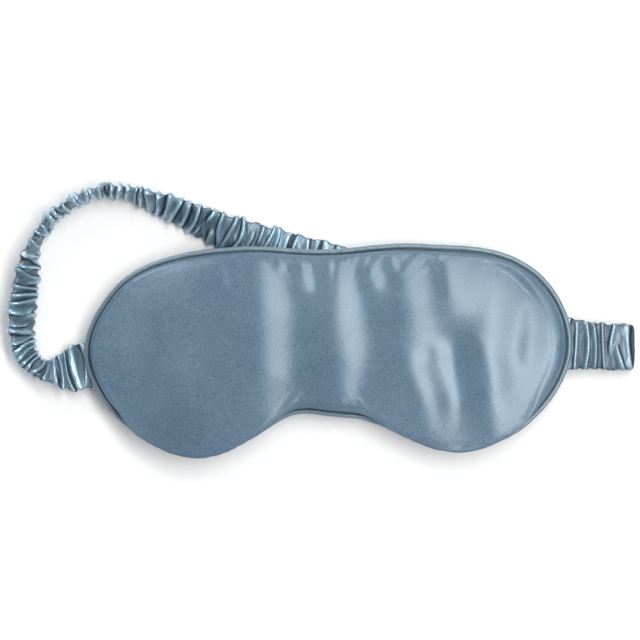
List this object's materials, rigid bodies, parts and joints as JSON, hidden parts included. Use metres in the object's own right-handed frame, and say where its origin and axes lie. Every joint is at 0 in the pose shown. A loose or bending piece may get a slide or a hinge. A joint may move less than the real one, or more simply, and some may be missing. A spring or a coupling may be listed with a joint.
{
  "type": "sleep mask",
  "caption": "Padded satin sleep eye mask with two eye lobes, a nose notch, a corded rim and a gathered elastic strap sewn into both ends.",
  "frame": {"origin": "centre of the mask's flat back, the side worn against the face", "axes": "+X to the mask's right end, +Y towards the forehead, +Z out of the front"},
  "size_m": [0.2677, 0.1176, 0.0196],
  "materials": {
    "satin": "dusty blue charmeuse satin, soft sheen",
    "lining": "matt dark blackout lining",
    "wadding": "matt white floss wadding",
    "cord": "matt twisted cotton cord",
    "thread": "polyester sewing thread",
    "elastic": "flat woven elastic"
  },
  "bodies": {
    "mask": {"front_cover": "satin", "back_cover": "satin", "front_liner": "lining", "back_liner": "lining", "filling": "wadding", "piping_cover": "satin", "piping_cord": "cord", "edge_stitches": "thread", "bar_tacks_left": "thread", "bar_tacks_right": "thread", "strap_anchor_left": "satin", "strap_anchor_right": "satin", "elastic_anchor_left": "elastic", "elastic_anchor_right": "elastic"},
    "strap_ends": {"strap_sleeve_end_left": "satin", "strap_sleeve_arm_left": "satin", "strap_sleeve_arm_right": "satin", "strap_sleeve_end_right": "satin", "strap_elastic_end_left": "elastic", "strap_elastic_arm_left": "elastic", "strap_elastic_arm_right": "elastic", "strap_elastic_end_right": "elastic"},
    "strap_middle": {"strap_sleeve_middle": "satin", "strap_elastic_middle": "elastic"}
  },
  "joints": [
    {"name": "strap_swing", "type": "hinge", "parent": "mask", "child": "strap_ends", "pos_m": [0, -0.0067, -0.0027], "axis": [-1, 0, 0], "range_deg": [0, 180]},
    {"name": "strap_stretch", "type": "slide", "parent": "strap_ends", "child": "strap_middle", "axis": [0, 1, 0], "range_m": [0, 0.05], "stiffness_N_per_m": 15, "deforming": ["strap_sleeve_arm_left", "strap_elastic_arm_left", "strap_sleeve_arm_right", "strap_elastic_arm_right"]}
  ]
}
